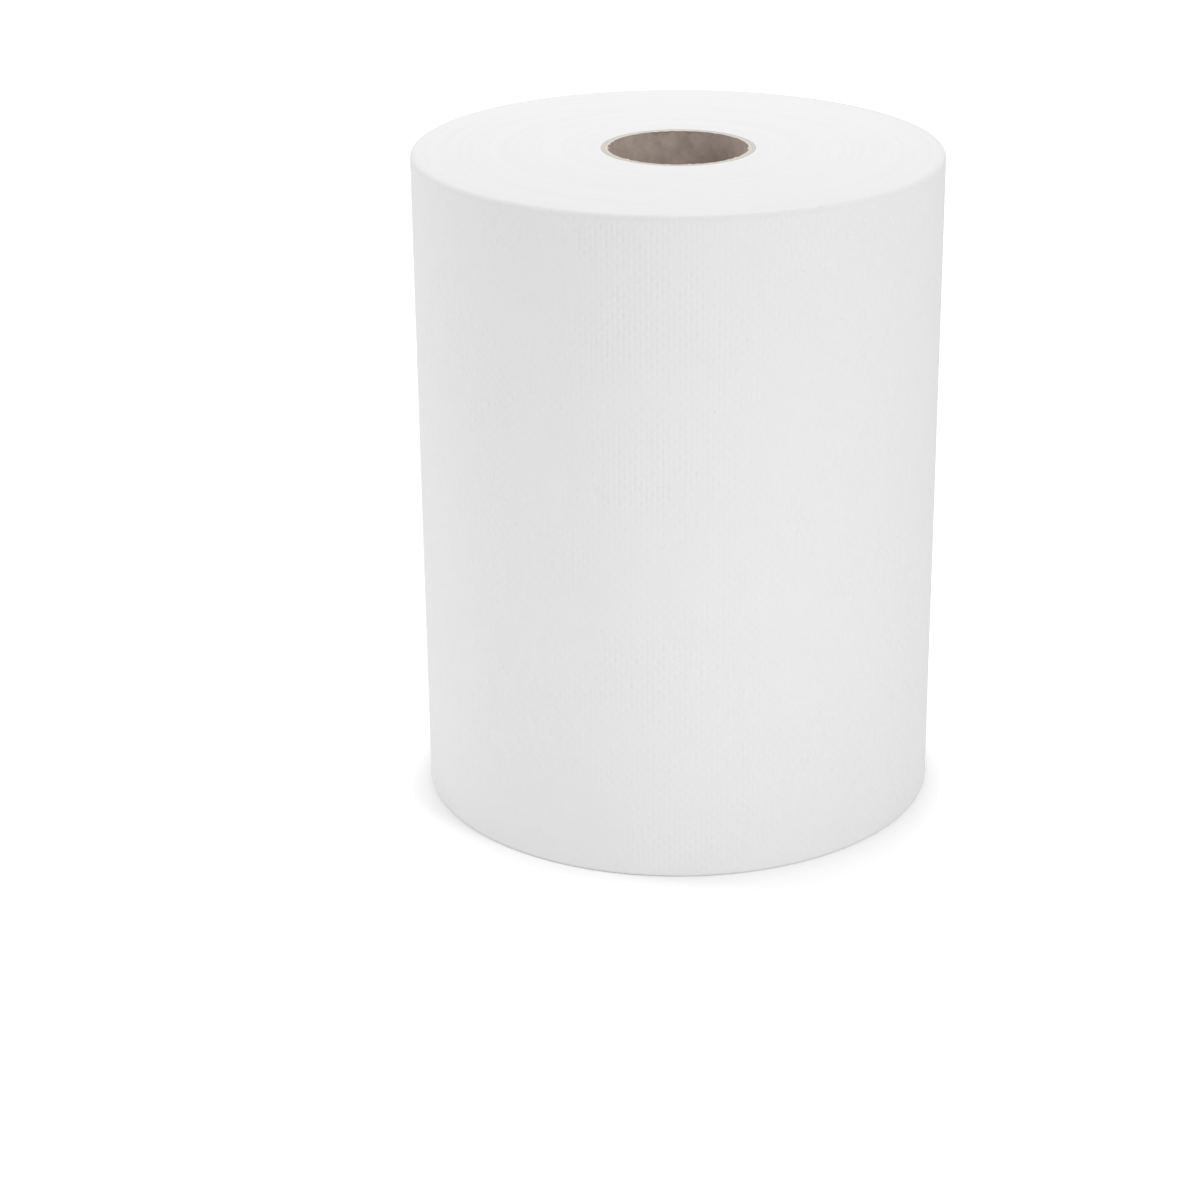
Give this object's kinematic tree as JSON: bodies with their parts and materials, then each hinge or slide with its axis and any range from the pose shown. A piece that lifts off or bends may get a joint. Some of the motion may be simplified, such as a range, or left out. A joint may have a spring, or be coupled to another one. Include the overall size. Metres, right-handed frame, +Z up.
{
  "type": "paper towel roll",
  "caption": "Hard-wound roll of white embossed paper towel on a board core, standing on one end, with a straight hole through the core for a dispenser spindle.",
  "frame": {"origin": "centre of the end face that the roll stands on, on the roll's axis", "axes": "+Z up along the roll's axis; -Y towards the viewer of the picture, +X to its right; the cut tail of the sheet lies on the back, 115 degrees from +X towards +Y"},
  "size_m": [0.1999, 0.1997, 0.254],
  "materials": {
    "towel_paper": "matt white tissue with a fine embossed pattern of short upright dashes",
    "core_board": "matt grey-brown recycled board, mottled with fibres"
  },
  "bodies": {
    "root": {"wound_paper": "towel_paper", "core_tube": "core_board"}
  },
  "joints": []
}
